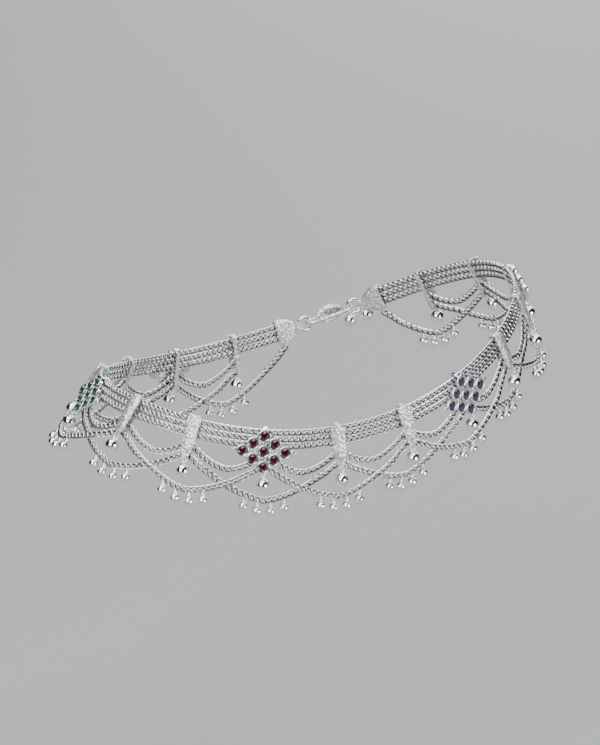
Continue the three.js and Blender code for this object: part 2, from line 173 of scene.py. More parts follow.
# Nothing is picked when a piece is started
def deselectAll():
    if bpy.context.object and bpy.context.object.mode != "OBJECT":
        bpy.ops.object.mode_set(mode="OBJECT")
    bpy.ops.object.select_all(action="DESELECT")


# Faces and points are picked by what they are like
def startPicking(kind):
    bpy.ops.object.mode_set(mode="EDIT")
    bpy.ops.mesh.select_mode(type=kind)
    bpy.ops.mesh.select_all(action="DESELECT")
    bpy.ops.object.mode_set(mode="OBJECT")


def pickFaces(piece, wanted):
    startPicking("FACE")
    for face in piece.data.polygons:
        face.select = wanted(face)
    bpy.ops.object.mode_set(mode="EDIT")


def pickPoints(piece, wanted):
    startPicking("VERT")
    for point in piece.data.vertices:
        point.select = wanted(point.co)
    bpy.ops.object.mode_set(mode="EDIT")


def applyModifier(piece, kind, **values):
    modifier = piece.modifiers.new(kind.title(), kind)
    for key, value in values.items():
        setattr(modifier, key, value)
    bpy.ops.object.modifier_apply(modifier=modifier.name)


def softenEdges(piece, width, steps, angle):
    settings = {"limit_method": "ANGLE", "angle_limit": angle}
    applyModifier(piece, "BEVEL", width=width, segments=steps, **settings)


# Extrude what is picked, by a step
def drawOut(step):
    bpy.ops.mesh.extrude_region_move(TRANSFORM_OT_translate={"value": step})


# A piece out of edit mode, with its origin at zero, neither turned nor scaled
def settle(piece, smoothAngle=None):
    bpy.ops.object.mode_set(mode="OBJECT")
    bpy.ops.object.transform_apply(location=True, rotation=True, scale=True)
    if smoothAngle:
        bpy.ops.object.shade_smooth_by_angle(angle=math.radians(smoothAngle))
    return piece


def joinPieces(pieces):
    deselectAll()
    for piece in pieces:
        piece.select_set(True)
    bpy.context.view_layer.objects.active = pieces[0]
    bpy.ops.object.join()
    return bpy.context.object


# A ring of round wire, measured to the middle of the wire
def addRing(radius, wire, segments, sides, at=(0, 0, 0), turned=(0, 0, 0)):
    deselectAll()
    bpy.ops.mesh.primitive_torus_add(
        major_radius=radius,
        minor_radius=wire / 2,
        major_segments=segments,
        minor_segments=sides,
        location=at,
        rotation=turned,
    )
    return settle(bpy.context.object)


# A ball with its poles along y
def addBall(radius, segments, rings, drop):
    deselectAll()
    bpy.ops.mesh.primitive_uv_sphere_add(
        segments=segments,
        ring_count=rings,
        radius=radius,
        location=(0, -drop, 0),
        rotation=(quarterTurn, 0, 0),
    )
    return settle(bpy.context.object)


# How far each point lies in a hollow, where the silver gets painted shade and patina: 0 is bright and 1
# is dark
def paintShadeAndPatina(piece, depthAt):
    shadeAndPatina = piece.data.attributes.new("shadeAndPatina", "FLOAT", "POINT")
    for i, point in enumerate(piece.data.vertices):
        shadeAndPatina.data[i].value = min(1, max(0, depthAt(point.co)))


# The shape of a master as arrays, with the master taken away
def takeShape(piece):
    mesh = piece.data
    points = np.empty(len(mesh.vertices) * 3)
    mesh.vertices.foreach_get("co", points)
    corners = np.empty(len(mesh.loops), int)
    mesh.loops.foreach_get("vertex_index", corners)
    sizes = np.empty(len(mesh.polygons), int)
    mesh.polygons.foreach_get("loop_total", sizes)
    smooth = np.empty(len(mesh.polygons), bool)
    mesh.polygons.foreach_get("use_smooth", smooth)
    shadeAndPatina = np.zeros(len(mesh.vertices))
    if "shadeAndPatina" in mesh.attributes:
        mesh.attributes["shadeAndPatina"].data.foreach_get("value", shadeAndPatina)
    bpy.data.objects.remove(piece)
    return {
        "points": points.reshape(-1, 3),
        "corners": corners,
        "sizes": sizes,
        "smooth": smooth,
        "shadeAndPatina": shadeAndPatina,
    }


# One mesh with a copy of the shape at every place, added to the scene as a finished piece
def setPiece(name, shape, places, material, nodes):
    matrices = np.array([np.array(place) for place in places])
    turned = np.einsum("nij,mj->nmi", matrices[:, :3, :3], shape["points"])
    points = (turned + matrices[:, None, :3, 3]).reshape(-1, 3)
    count = len(places)
    offsets = np.arange(count)[:, None] * len(shape["points"])
    corners = (shape["corners"][None, :] + offsets).ravel()
    sizes = np.tile(shape["sizes"], count)
    starts = np.concatenate([[0], np.cumsum(sizes)[:-1]])
    mesh = bpy.data.meshes.new(name)
    mesh.vertices.add(len(points))
    mesh.vertices.foreach_set("co", points.ravel())
    mesh.loops.add(len(corners))
    mesh.loops.foreach_set("vertex_index", corners)
    mesh.polygons.add(len(sizes))
    mesh.polygons.foreach_set("loop_start", starts)
    mesh.polygons.foreach_set("use_smooth", np.tile(shape["smooth"], count))
    mesh.update(calc_edges=True)
    mesh.validate()
    shadeAndPatina = mesh.attributes.new("shadeAndPatina", "FLOAT", "POINT")
    shadeAndPatina.data.foreach_set("value", np.tile(shape["shadeAndPatina"], count))
    mesh.materials.append(material)
    piece = bpy.data.objects.new(name, mesh)
    bpy.context.collection.objects.link(piece)
    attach(piece, "root")
    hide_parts(*nodes)
    return piece


# Camera, floor and light
camera = {
    "azimuth": -21.3,
    "elevation": 15,
    "distance": 1.2,
    "focal": 268,
    "aim": (-2 * mm, 0, -3 * mm),
    "clipStart": 0.01,
}
floor = {"size": 6, "drop": 62 * mm, "color": (0.285, 0.292, 0.303, 1), "roughness": 0.8}
lights = {
    "key": {"at": (-1.0, -0.75, 0.75), "size": 0.8, "power": 22},
    "front": {"at": (0.6, -1.1, 0.2), "size": 0.55, "power": 16},
    "back": {"at": (0.7, 1.1, 0.4), "size": 0.7, "power": 11},
    "top": {"at": (-0.1, 0.1, 1.2), "size": 1.2, "power": 24},
}
worldLight = {"color": (0.5, 0.52, 0.55, 1), "strength": 0.05}


def aimAt(thing, target):
    thing.rotation_euler = (Vector(target) - thing.location).to_track_quat("-Z", "Y").to_euler()


def setCamera():
    turn = math.radians(camera["azimuth"])
    lift = math.radians(camera["elevation"])
    level = math.cos(lift)
    direction = Vector((math.sin(turn) * level, -math.cos(turn) * level, math.sin(lift)))
    target = Vector(camera["aim"])
    bpy.ops.object.camera_add(location=target + direction * camera["distance"])
    view = bpy.context.object
    view.data.lens = camera["focal"]
    view.data.clip_start = camera["clipStart"]
    aimAt(view, target)
    bpy.context.scene.camera = view


def startMaterial(name):
    material = bpy.data.materials.new(name)
    material.use_nodes = True
    return material, material.node_tree.nodes, material.node_tree.links.new


def setFloor():
    deselectAll()
    height = cadBox[0][2] - floor["drop"]
    bpy.ops.mesh.primitive_plane_add(size=floor["size"], location=(0, 0, height))
    ground = settle(bpy.context.object)
    ground.name = "studio_floor"
    material, nodes, connect = startMaterial("paleFloor")
    shader = nodes["Principled BSDF"]
    shader.inputs["Base Color"].default_value = floor["color"]
    shader.inputs["Roughness"].default_value = floor["roughness"]
    ground.data.materials.append(material)


def setLights():
    for name, light in lights.items():
        bpy.ops.object.light_add(type="AREA", location=light["at"])
        lamp = bpy.context.object
        lamp.name = name + "_light"
        lamp.data.size = light["size"]
        lamp.data.energy = light["power"]
        aimAt(lamp, (0, 0, 0))
    world = bpy.data.worlds.new("studioWorld")
    world.use_nodes = True
    background = world.node_tree.nodes["Background"]
    background.inputs["Color"].default_value = worldLight["color"]
    background.inputs["Strength"].default_value = worldLight["strength"]
    bpy.context.scene.world = world


setCamera()
setFloor()
setLights()
print("camera, floor and lights are set")

# Materials. The silver group gives a colour, a roughness and a height that change over the surface
silverTones = {
    "chain": {
        "Light": (0.95, 0.95, 0.96, 1),
        "Dark": (0.78, 0.79, 0.81, 1),
        "Patch Size": 900,
        "Grain Size": 2500,
        "Low Roughness": 0.07,
        "High Roughness": 0.18,
        "Pit Tone": 1,
        "grainDepth": 0.01 * mm,
    },
    "polished": {
        "Light": (0.96, 0.96, 0.97, 1),
        "Dark": (0.86, 0.87, 0.88, 1),
        "Patch Size": 500,
        "Grain Size": 2500,
        "Low Roughness": 0.05,
        "High Roughness": 0.14,
        "Pit Tone": 1,
        "grainDepth": 0.002 * mm,
    },
    "satin": {
        "Light": (0.97, 0.97, 0.98, 1),
        "Dark": (0.86, 0.87, 0.88, 1),
        "Patch Size": 900,
        "Grain Size": 2500,
        "Low Roughness": 0.14,
        "High Roughness": 0.24,
        "Pit Tone": 1,
        "grainDepth": 0.01 * mm,
    },
    "frosted": {
        "Light": (0.99, 0.99, 0.98, 1),
        "Dark": (0.88, 0.88, 0.87, 1),
        "Patch Size": 1300,
        "Grain Size": 1700,
        "Low Roughness": 0.36,
        "High Roughness": 0.56,
        "Pit Tone": 0.6,
        "grainDepth": 0.2 * mm,
    },
}
silverSurface = {
    "patchDetail": 4,
    "patchFrom": 0.35,
    "patchTo": 0.65,
    "pitFrom": 0.3,
    "pitTo": 0.62,
    # The tone of the painted shade and patina in hollows
    "shadeAndPatinaTone": (0.02, 0.02, 0.023, 1),
}


# A colour mixer, with its way of blending
def addMix(nodes, blend="MIX"):
    mixer = nodes.new("ShaderNodeMix")
    mixer.data_type = "RGBA"
    mixer.blend_type = blend
    return mixer


def addRange(nodes, low, high):
    spread = nodes.new("ShaderNodeMapRange")
    spread.inputs["From Min"].default_value = low
    spread.inputs["From Max"].default_value = high
    return spread


silverSides = (
    ("Light", "INPUT", "NodeSocketColor"),
    ("Dark", "INPUT", "NodeSocketColor"),
    ("Patch Size", "INPUT", "NodeSocketFloat"),
    ("Grain Size", "INPUT", "NodeSocketFloat"),
    ("Low Roughness", "INPUT", "NodeSocketFloat"),
    ("High Roughness", "INPUT", "NodeSocketFloat"),
    ("Pit Tone", "INPUT", "NodeSocketFloat"),
    ("Color", "OUTPUT", "NodeSocketColor"),
    ("Roughness", "OUTPUT", "NodeSocketFloat"),
    ("Height", "OUTPUT", "NodeSocketFloat"),
)


def makeSilverGroup():
    group = bpy.data.node_groups.new("silverSurface", "ShaderNodeTree")
    for name, side, kind in silverSides:
        group.interface.new_socket(name=name, in_out=side, socket_type=kind)
    nodes = group.nodes
    connect = group.links.new
    inside = nodes.new("NodeGroupInput")
    outside = nodes.new("NodeGroupOutput")
    coordinates = nodes.new("ShaderNodeTexCoord")
    patches = nodes.new("ShaderNodeTexNoise")
    patches.inputs["Detail"].default_value = silverSurface["patchDetail"]
    connect(coordinates.outputs["Object"], patches.inputs["Vector"])
    connect(inside.outputs["Patch Size"], patches.inputs["Scale"])
    grains = nodes.new("ShaderNodeTexVoronoi")
    connect(coordinates.outputs["Object"], grains.inputs["Vector"])
    connect(inside.outputs["Grain Size"], grains.inputs["Scale"])
    spread = addRange(nodes, silverSurface["patchFrom"], silverSurface["patchTo"])
    connect(patches.outputs["Fac"], spread.inputs["Value"])
    tone = addMix(nodes)
    connect(spread.outputs["Result"], tone.inputs["Factor"])
    connect(inside.outputs["Dark"], tone.inputs["A"])
    connect(inside.outputs["Light"], tone.inputs["B"])
    pits = addRange(nodes, silverSurface["pitFrom"], silverSurface["pitTo"])
    pits.inputs["To Min"].default_value = 1
    connect(grains.outputs["Distance"], pits.inputs["Value"])
    connect(inside.outputs["Pit Tone"], pits.inputs["To Max"])
    darkened = addMix(nodes, "MULTIPLY")
    darkened.inputs["Factor"].default_value = 1
    connect(tone.outputs["Result"], darkened.inputs["A"])
    connect(pits.outputs["Result"], darkened.inputs["B"])
    gloss = addRange(nodes, 0, 1)
    connect(patches.outputs["Fac"], gloss.inputs["Value"])
    connect(inside.outputs["High Roughness"], gloss.inputs["To Min"])
    connect(inside.outputs["Low Roughness"], gloss.inputs["To Max"])
    connect(darkened.outputs["Result"], outside.inputs["Color"])
    connect(gloss.outputs["Result"], outside.inputs["Roughness"])
    connect(grains.outputs["Distance"], outside.inputs["Height"])
    return group


silverGroup = makeSilverGroup()


def makeSilver(name):
    material, nodes, connect = startMaterial(name + "Silver")
    shader = nodes["Principled BSDF"]
    shader.inputs["Metallic"].default_value = 1
    surface = nodes.new("ShaderNodeGroup")
    surface.node_tree = silverGroup
    for side in surface.inputs:
        side.default_value = silverTones[name][side.name]
    bump = nodes.new("ShaderNodeBump")
    bump.inputs["Distance"].default_value = silverTones[name]["grainDepth"]
    # Painted shade and patina: the colour darkens towards this tone where a point lies in a hollow
    shadeAndPatina = nodes.new("ShaderNodeAttribute")
    shadeAndPatina.attribute_name = "shadeAndPatina"
    shadeAndPatinaTone = addMix(nodes)
    shadeAndPatinaTone.inputs["B"].default_value = silverSurface["shadeAndPatinaTone"]
    connect(shadeAndPatina.outputs["Fac"], shadeAndPatinaTone.inputs["Factor"])
    connect(surface.outputs["Color"], shadeAndPatinaTone.inputs["A"])
    connect(shadeAndPatinaTone.outputs["Result"], shader.inputs["Base Color"])
    connect(surface.outputs["Roughness"], shader.inputs["Roughness"])
    connect(surface.outputs["Height"], bump.inputs["Height"])
    connect(bump.outputs["Normal"], shader.inputs["Normal"])
    return material


gemTones = {
    "emerald": {"deep": (0.001, 0.016, 0.006, 1), "bright": (0.008, 0.095, 0.035, 1)},
    "ruby": {"deep": (0.012, 0.001, 0.002, 1), "bright": (0.05, 0.003, 0.009, 1)},
    "sapphire": {"deep": (0.003, 0.002, 0.011, 1), "bright": (0.018, 0.012, 0.05, 1)},
}
gemSurface = {"Roughness": 0.04, "IOR": 1.76, "Coat Weight": 0.6, "Coat Roughness": 0.02}
facetSize = 1400


def makeGem(name):
    material, nodes, connect = startMaterial(name + "Stone")
    shader = nodes["Principled BSDF"]
    for side, value in gemSurface.items():
        shader.inputs[side].default_value = value
    coordinates = nodes.new("ShaderNodeTexCoord")
    facets = nodes.new("ShaderNodeTexVoronoi")
    facets.inputs["Scale"].default_value = facetSize
    tone = addMix(nodes)
    tone.inputs["A"].default_value = gemTones[name]["deep"]
    tone.inputs["B"].default_value = gemTones[name]["bright"]
    connect(coordinates.outputs["Object"], facets.inputs["Vector"])
    connect(facets.outputs["Color"], tone.inputs["Factor"])
    connect(tone.outputs["Result"], shader.inputs["Base Color"])
    return material


chainSilver = makeSilver("chain")
polishedSilver = makeSilver("polished")
satinSilver = makeSilver("satin")
frostedSilver = makeSilver("frosted")
gemNames = list(gemTones)
gemStones = {name: makeGem(name) for name in gemNames}
print("materials are made")


# One curb link: a ring drawn out along x and twisted, with painted shade and patina on its inner side
link = {
    "pitch": 1.25 * mm,
    "twist": 50,
    "segments": 14,
    "sides": 6,
    "paintedShadeGrowth": 4.6,
    "margin": 0.01 * mm,
    "turnSpan": 0.2 * mm,
}


def makeLink():
    ringRadius = (chain["width"] - chain["wire"]) / 2
    drawn = (link["pitch"] + chain["wire"]) / 2 - ringRadius
    shade = link["paintedShadeGrowth"] / chain["wire"]
    ring = addRing(ringRadius, chain["wire"], link["segments"], link["sides"])
    # Painted shade and patina: darker towards the inside of the ring
    paintShadeAndPatina(ring, lambda point: shade * (ringRadius - math.hypot(point.x, point.y)))
    for side in (1, -1):
        pickPoints(ring, lambda point: side * point.x > link["margin"])
        bpy.ops.transform.translate(value=(side * drawn, 0, 0))
    bpy.ops.object.mode_set(mode="OBJECT")
    twist = math.radians(link["twist"])
    applyModifier(ring, "SIMPLE_DEFORM", deform_method="TWIST", deform_axis="X", angle=twist)
    bpy.ops.object.shade_smooth()
    return takeShape(ring)


# The points of a line at given lengths along it
def pointsAt(at, steps, points):
    return np.stack([np.interp(at, steps, points[:, axis]) for axis in range(3)], axis=-1)


# Places for links along a route on the skin, evenly spaced. The start is the first link's place, as
# a share of the spacing
def linkPlaces(u, v, w, start=0.5):
    points = onSkin(u, v, w)
    steps = np.concatenate([[0], np.cumsum(np.linalg.norm(np.diff(points, axis=0), axis=1))])
    count = max(1, round(steps[-1] / link["pitch"]))
    at = (np.arange(count) + start) * steps[-1] / count
    ahead = pointsAt(at + link["turnSpan"], steps, points)
    behind = pointsAt(at - link["turnSpan"], steps, points)
    tangent = unit(ahead - behind)
    out = skinAt(np.interp(at, steps, u))[3]
    out = unit(out - np.sum(out * tangent, axis=1, keepdims=True) * tangent)
    places = np.tile(np.eye(4), (count, 1, 1))
    places[:, :3, 0] = tangent
    places[:, :3, 1] = np.cross(out, tangent)
    places[:, :3, 2] = out
    places[:, :3, 3] = pointsAt(at, steps, points)
    return places


# The loop is open between the mouths of its two caps
firstMouth = slotAt(worn["firstSlot"]) - worn["capLead"]
lastMouth = slotAt(worn["lastSlot"]) + worn["capLead"]
linkShape = makeLink()

# The links of every second row are half a link further on
bandAlong = np.linspace(firstMouth - band["inset"], lastMouth + band["inset"], band["steps"])
bandPlaces = []
for row in range(band["rows"]):
    rowDown = np.full_like(bandAlong, (row + 0.5) * band["rowPitch"])
    rowStart = 0.75 if row % 2 else 0.25
    bandPlaces.append(linkPlaces(bandAlong, rowDown, np.zeros_like(bandAlong), rowStart))
bandLinks = np.concatenate(bandPlaces)
setPiece("band_links", linkShape, bandLinks, chainSilver, ["band"])
print("the band is laid")


# A swag chain from hold to hold: all of its stretches hang down to the same line, and each eases
# outwards or inwards away from its holds, so that the chains pass each other where they cross
def swagRoute(holds, lowest, power, shift):
    parts = []
    share = np.linspace(0, 1, swag["steps"])
    for (startU, startV), (endU, endV) in zip(holds[:-1], holds[1:]):
        fallAlong, fallDown = fallAt(np.float64((startU + endU) / 2))
        sag = lowest - (startV + endV) / 2
        drop = sag * (1 - np.abs(2 * share - 1) ** power)
        u = startU + (endU - startU) * share + drop * fallAlong
        v = startV + (endV - startV) * share + drop * fallDown
        near = np.minimum(share, 1 - share)
        shiftSpan = swag["shiftEnd"] - swag["shiftStart"]
        free = np.clip((near - swag["shiftStart"]) / shiftSpan, 0, 1)
        parts.append((u, v, shift * free ** 2 * (3 - 2 * free)))
    return parts


# The stretches in one line: a point that two of them share is taken once
def routePlaces(parts):
    route = []
    for axis in range(3):
        later = [part[axis][1:] for part in parts[1:]]
        route.append(np.concatenate([parts[0][axis]] + later))
    return linkPlaces(*route)


# The wall of an end cap, and the gap between it and the band
capWall = 0.35 * mm
capGap = 0.14 * mm
capHang = bandHeight + capGap + capWall + swag["strandGap"] + chain["width"] / 2
shortHolds = [(slotAt(slot), shortHang) for slot in slots]
longHolds = [(slotAt(slot), longHang) for slot in slots]
frontHolds = [(firstMouth - swag["strandInset"], capHang)] + longHolds[1::2]
backHolds = longHolds[0::2] + [(lastMouth + swag["strandInset"], capHang)]

shortLowest = shortHang + swag["shortSag"]
longLowest = longHang + swag["longSag"]
routes = {
    "short": swagRoute(shortHolds, shortLowest, swag["shortPower"], 0),
    "front": swagRoute(frontHolds, longLowest, swag["longPower"], swag["crossingShift"]),
    "back": swagRoute(backHolds, longLowest, swag["longPower"], -swag["crossingShift"]),
}
for name, route in routes.items():
    node = f"{name}_swag_chain"
    setPiece(f"{name}_swag_links", linkShape, routePlaces(route), chainSilver, [node])

# A small ring ties the outer end of each long swag to its cap
tie = {
    "radius": 0.55 * mm,
    "wire": 0.3 * mm,
    "segments": 16,
    "sides": 6,
    "up": 0.6 * mm,
    "inward": 0.35 * mm,
}


def makeTie():
    ring = addRing(tie["radius"], tie["wire"], tie["segments"], tie["sides"], turned=(0, quarterTurn, 0))
    return takeShape(settle(ring, smoothAngle=60))


tieShape = makeTie()
tieSpots = {"front": frontHolds[0][0] + tie["inward"], "back": backHolds[-1][0] - tie["inward"]}
for name, spot in tieSpots.items():
    place = placeAt(spot, capHang - tie["up"])
    node = f"{name}_swag_chain"
    setPiece(f"{name}_swag_tie", tieShape, [place], polishedSilver, [node])
print("the swags are hung")


# Fringe beads: a ball, a tapering neck and a small ring round the chain's lower wire
fringe = {
    "count": 4,
    "diameter": 2.1 * mm,
    "segments": 14,
    "rings": 10,
    "spacing": 2.45 * mm,
    "drop": 2.55 * mm,
    "neckTop": 0.3 * mm,
    "neckFoot": 0.66 * mm,
    "neckLength": 0.75 * mm,
    "neckSunk": 0.15 * mm,
    "neckSides": 8,
    "ringRadius": 0.34 * mm,
    "ringWire": 0.26 * mm,
    "ringDrop": 0.85 * mm,
    "ringSegments": 10,
    "ringSides": 5,
}


def makeFringeBead():
    radius = fringe["diameter"] / 2
    sphere = addBall(radius, fringe["segments"], fringe["rings"], fringe["drop"])
    deselectAll()
    neckMiddle = -fringe["drop"] + radius + fringe["neckLength"] / 2 - fringe["neckSunk"]
    bpy.ops.mesh.primitive_cone_add(
        vertices=fringe["neckSides"],
        radius1=fringe["neckFoot"],
        radius2=fringe["neckTop"],
        depth=fringe["neckLength"],
        location=(0, neckMiddle, 0),
        rotation=(-quarterTurn, 0, 0),
    )
    neck = settle(bpy.context.object)
    ring = addRing(
        fringe["ringRadius"],
        fringe["ringWire"],
        fringe["ringSegments"],
        fringe["ringSides"],
        at=(0, -fringe["ringDrop"], 0),
        turned=(0, quarterTurn, 0),
    )
    bead = joinPieces([sphere, neck, ring])
    return takeShape(settle(bead, smoothAngle=50))


# A place where y points against gravity within the skin
def hangPlace(u, v, w):
    origin, along, down, out = skinAt(np.float64(u))
    fallAlong, fallDown = fallAt(np.float64(u))
    up = Vector(-along * fallAlong - down * fallDown)
    outward = Vector(out)
    return makePlace(up.cross(outward), up, outward, origin + down * v + out * w)


# The beads hang side by side in the middle of each stretch
def fringePlaces(holds, route):
    places = []
    for i, part in enumerate(route):
        span = holds[i + 1][0] - holds[i][0]
        share = np.linspace(0, 1, len(part[0]))
        for k in range(fringe["count"]):
            at = 0.5 + (k - (fringe["count"] - 1) / 2) * fringe["spacing"] / span
            u, v, w = [np.interp(at, share, part[axis]) for axis in range(3)]
            places.append(hangPlace(u, v, w))
    return places


fringeBead = makeFringeBead()
for name, holds in (("front", frontHolds), ("back", backHolds)):
    places = fringePlaces(holds, routes[name])
    node = f"{name}_swag_chain"
    setPiece(f"{name}_fringe_beads", fringeBead, places, satinSilver, [node])
print("the fringe hangs")

# The strap that folds an ornament over the band, with its way over the top: the share of the
# height and the share of the reach at each step
strap = {
    "width": 1 * mm,
    "thickness": 0.32 * mm,
    "frontLeg": 1 * mm,
    "foldGap": 0.2 * mm,
    "fold": [(0.2, 1), (0.85, 0.72), (1, 0.25), (1, -0.25), (0.85, -0.72), (0.2, -1)],
    "softEdge": 0.1 * mm,
    "edgeAngle": math.radians(30),
    "edgeSteps": 2,
    "margin": 0.01 * mm,
}
# The tongue of a bar with its eye. A section gives its place along the bar, its width and its height
bar = {
    "width": 3.1 * mm,
    "crown": 1.15 * mm,
    "pastChain": 1.35 * mm,
    "eyeUp": 0.65 * mm,
    "eyeRadius": 0.52 * mm,
    "eyeWire": 0.36 * mm,
    "tipShare": 0.48,
    "overEye": 0.15 * mm,
    "rim": 0.3 * mm,
    "panelDepth": 0.22 * mm,
    "panelFacing": 0.35,
    "panelSlope": 0.6,
    "roundness": 2,
    "sides": 14,
    "sections": [
        (0.0, 0.66, 0.5),
        (0.035, 0.95, 0.85),
        (0.1, 1.05, 1.05),
        (0.24, 1.02, 1.08),
        (0.4, 0.9, 0.98),
        (0.55, 0.92, 1.08),
        (0.68, 0.9, 1.05),
        (0.85, 0.7, 0.85),
        (0.97, 0.5, 0.6),
        (1.0, 0.36, 0.45),
    ],
}
foldTop = strap["foldGap"] + strap["thickness"]
backLeg = longHang + chain["width"] / 2 + band["clearance"]
barTip = longHang + chain["width"] / 2 + bar["pastChain"]


def makeStrap():
    deselectAll()
    reach = frontGap + strap["thickness"] / 2
    top = foldTop - strap["thickness"] / 2
    start = (-strap["frontLeg"], reach)
    line = [start] + [(up * top, out * reach) for up, out in strap["fold"]] + [(-backLeg, -reach)]
    middle = (0, start[0] - strap["width"] / 2, start[1])
    bpy.ops.mesh.primitive_plane_add(size=strap["width"], location=middle)
    piece = settle(bpy.context.object)
    pickPoints(piece, lambda point: point.y > start[0] - strap["margin"])
    for (fromY, fromZ), (toY, toZ) in zip(line[:-1], line[1:]):
        drawOut((0, toY - fromY, toZ - fromZ))
    bpy.ops.object.mode_set(mode="OBJECT")
    applyModifier(piece, "SOLIDIFY", thickness=strap["thickness"], offset=0)
    softenEdges(piece, strap["softEdge"], strap["edgeSteps"], strap["edgeAngle"])
    return settle(piece, smoothAngle=40)


def makeTongue():
    deselectAll()
    length = foldTop + barTip - 2 * bar["eyeUp"] + bar["overEye"]
    sections = [
        (foldTop - share * length, wide * bar["width"], tall * bar["crown"])
        for share, wide, tall in bar["sections"]
    ]
    firstY, firstWidth, firstHeight = sections[0]
    bpy.ops.mesh.primitive_circle_add(
        vertices=bar["sides"],
        radius=0.5,
        fill_type="NGON",
        location=(0, firstY, frontGap + firstHeight / 2),
        rotation=(-quarterTurn, 0, 0),
    )
    piece = bpy.context.object
    piece.scale = (firstWidth, firstHeight, 1)
    settle(piece)
    pickPoints(piece, lambda point: True)
    for (lastY, lastWidth, lastHeight), (y, width, height) in zip(sections[:-1], sections[1:]):
        drawOut((0, y - lastY, (height - lastHeight) / 2))
        growth = (width / lastWidth, 1, height / lastHeight)
        bpy.ops.transform.resize(value=growth, center_override=(0, y, frontGap + height / 2))
    bpy.ops.mesh.select_all(action="SELECT")
    bpy.ops.mesh.normals_make_consistent(inside=False)
    facing = bar["panelFacing"]
    slope = bar["panelSlope"]
    pickFaces(piece, lambda face: face.normal.z > facing and abs(face.normal.y) < slope)
    bpy.ops.mesh.inset(thickness=bar["rim"], depth=0)
    bpy.ops.transform.translate(value=(0, 0, -bar["panelDepth"]))
    bpy.ops.object.mode_set(mode="OBJECT")
    applyModifier(piece, "SUBSURF", levels=bar["roundness"], render_levels=bar["roundness"])
    return settle(piece, smoothAngle=60)


# The eye that a ball hangs in
eye = {"segments": 16, "sides": 8}


def makeEye(radius, wire, down, out):
    ring = addRing(radius, wire, eye["segments"], eye["sides"], at=(0, -down, out))
    return settle(ring, smoothAngle=60)


barEyeOut = frontGap + bar["tipShare"] * bar["crown"] / 2
barEyeDown = barTip - bar["eyeUp"]


def makeBar():
    barEye = makeEye(bar["eyeRadius"], bar["eyeWire"], barEyeDown, barEyeOut)
    return takeShape(joinPieces([makeTongue(), makeStrap(), barEye]))


# A ball on its bail, with the middle of the bail at the origin
ball = {
    "diameter": 2.95 * mm,
    "segments": 28,
    "rings": 18,
    "bailRadius": 0.6 * mm,
    "bailWire": 0.32 * mm,
    "bailSegments": 20,
    "below": 1.84 * mm,
    "collarRadius": 0.4 * mm,
    "collarWire": 0.35 * mm,
    "collarSegments": 16,
    "ringSides": 8,
}


def makeDrop(bailRadius, below):
    radius = ball["diameter"] / 2
    sphere = addBall(radius, ball["segments"], ball["rings"], below)
    collar = addRing(
        ball["collarRadius"],
        ball["collarWire"],
        ball["collarSegments"],
        ball["ringSides"],
        at=(0, radius - below, 0),
        turned=(quarterTurn, 0, 0),
    )
    bail = addRing(
        bailRadius,
        ball["bailWire"],
        ball["bailSegments"],
        ball["ringSides"],
        turned=(0, quarterTurn, 0),
    )
    drop = joinPieces([sphere, collar, bail])
    return takeShape(settle(drop, smoothAngle=60))


# Rosettes: nine bezels in a rhombus with their stones, small rings between them and a lug at each side
rosette = {
    "across": 2.24 * mm,
    "down": 1.66 * mm,
    "middle": 4.65 * mm,
    "eyeRadius": 0.5 * mm,
    "eyeWire": 0.34 * mm,
    "eyeDown": 9.49 * mm,
    "eyeOut": 0.25 * mm,
}
bezel = {
    "diameter": 2.74 * mm,
    "sides": 20,
    "depth": 0.85 * mm,
    "rim": 0.41 * mm,
    "seat": 0.35 * mm,
    "softEdge": 0.09 * mm,
    "edgeAngle": 0.9,
    "edgeSteps": 2,
    "frontFacing": 0.9,
    "shadeFrom": 0.15 * mm,
    "shadeGrowth": 4,
    "backShare": 0.3,
    "backShade": 0.3,
}
stone = {
    "diameter": 1.9 * mm,
    "fit": 0.99,
    "sides": 10,
    "sunk": 0.1 * mm,
    "height": 0.45 * mm,
    "facets": [(0.6, 0.8), (0.4, 0.7)],
    "turn": 18,
}
smallRing = {
    "radius": 0.34 * mm,
    "wire": 0.32 * mm,
    "lugRadius": 0.42 * mm,
    "lugWire": 0.36 * mm,
    "lugSunk": 0.7,
    "segments": 14,
    "sides": 6,
}
stoneSpots = []
for i in (-1, 0, 1):
    for j in (-1, 0, 1):
        spot = ((i + j) * rosette["across"], (i - j) * rosette["down"] - rosette["middle"])
        stoneSpots.append(spot)
bezelFront = frontGap + bezel["depth"]
rosetteEyeOut = frontGap + rosette["eyeOut"]


# Painted shade and patina on a bezel: a little dark at its back, darkest in its seat and bright at its
# front
def bezelShade(point):
    if point.z < frontGap + bezel["backShare"] * bezel["depth"]:
        return bezel["backShade"]
    return bezel["shadeGrowth"] * (bezelFront - bezel["shadeFrom"] - point.z) / bezel["depth"]


def makeBezel(x, y):
    deselectAll()
    bpy.ops.mesh.primitive_cylinder_add(
        vertices=bezel["sides"],
        radius=bezel["diameter"] / 2,
        depth=bezel["depth"],
        location=(x, y, frontGap + bezel["depth"] / 2),
    )
    piece = settle(bpy.context.object)
    pickFaces(piece, lambda face: face.normal.z > bezel["frontFacing"])
    bpy.ops.mesh.inset(thickness=bezel["rim"], depth=0)
    drawOut((0, 0, -bezel["seat"]))
    bpy.ops.object.mode_set(mode="OBJECT")
    softenEdges(piece, bezel["softEdge"], bezel["edgeSteps"], bezel["edgeAngle"])
    paintShadeAndPatina(piece, bezelShade)
    return piece


def makeSmallRing(x, y, radius, wire, out):
    ring = addRing(radius, wire, smallRing["segments"], smallRing["sides"], at=(x, y, out))
    # Painted shade and patina on the inner side of the ring
    paintShadeAndPatina(ring, lambda point: 2 * (radius - math.hypot(point.x - x, point.y - y)) / wire)
    return ring


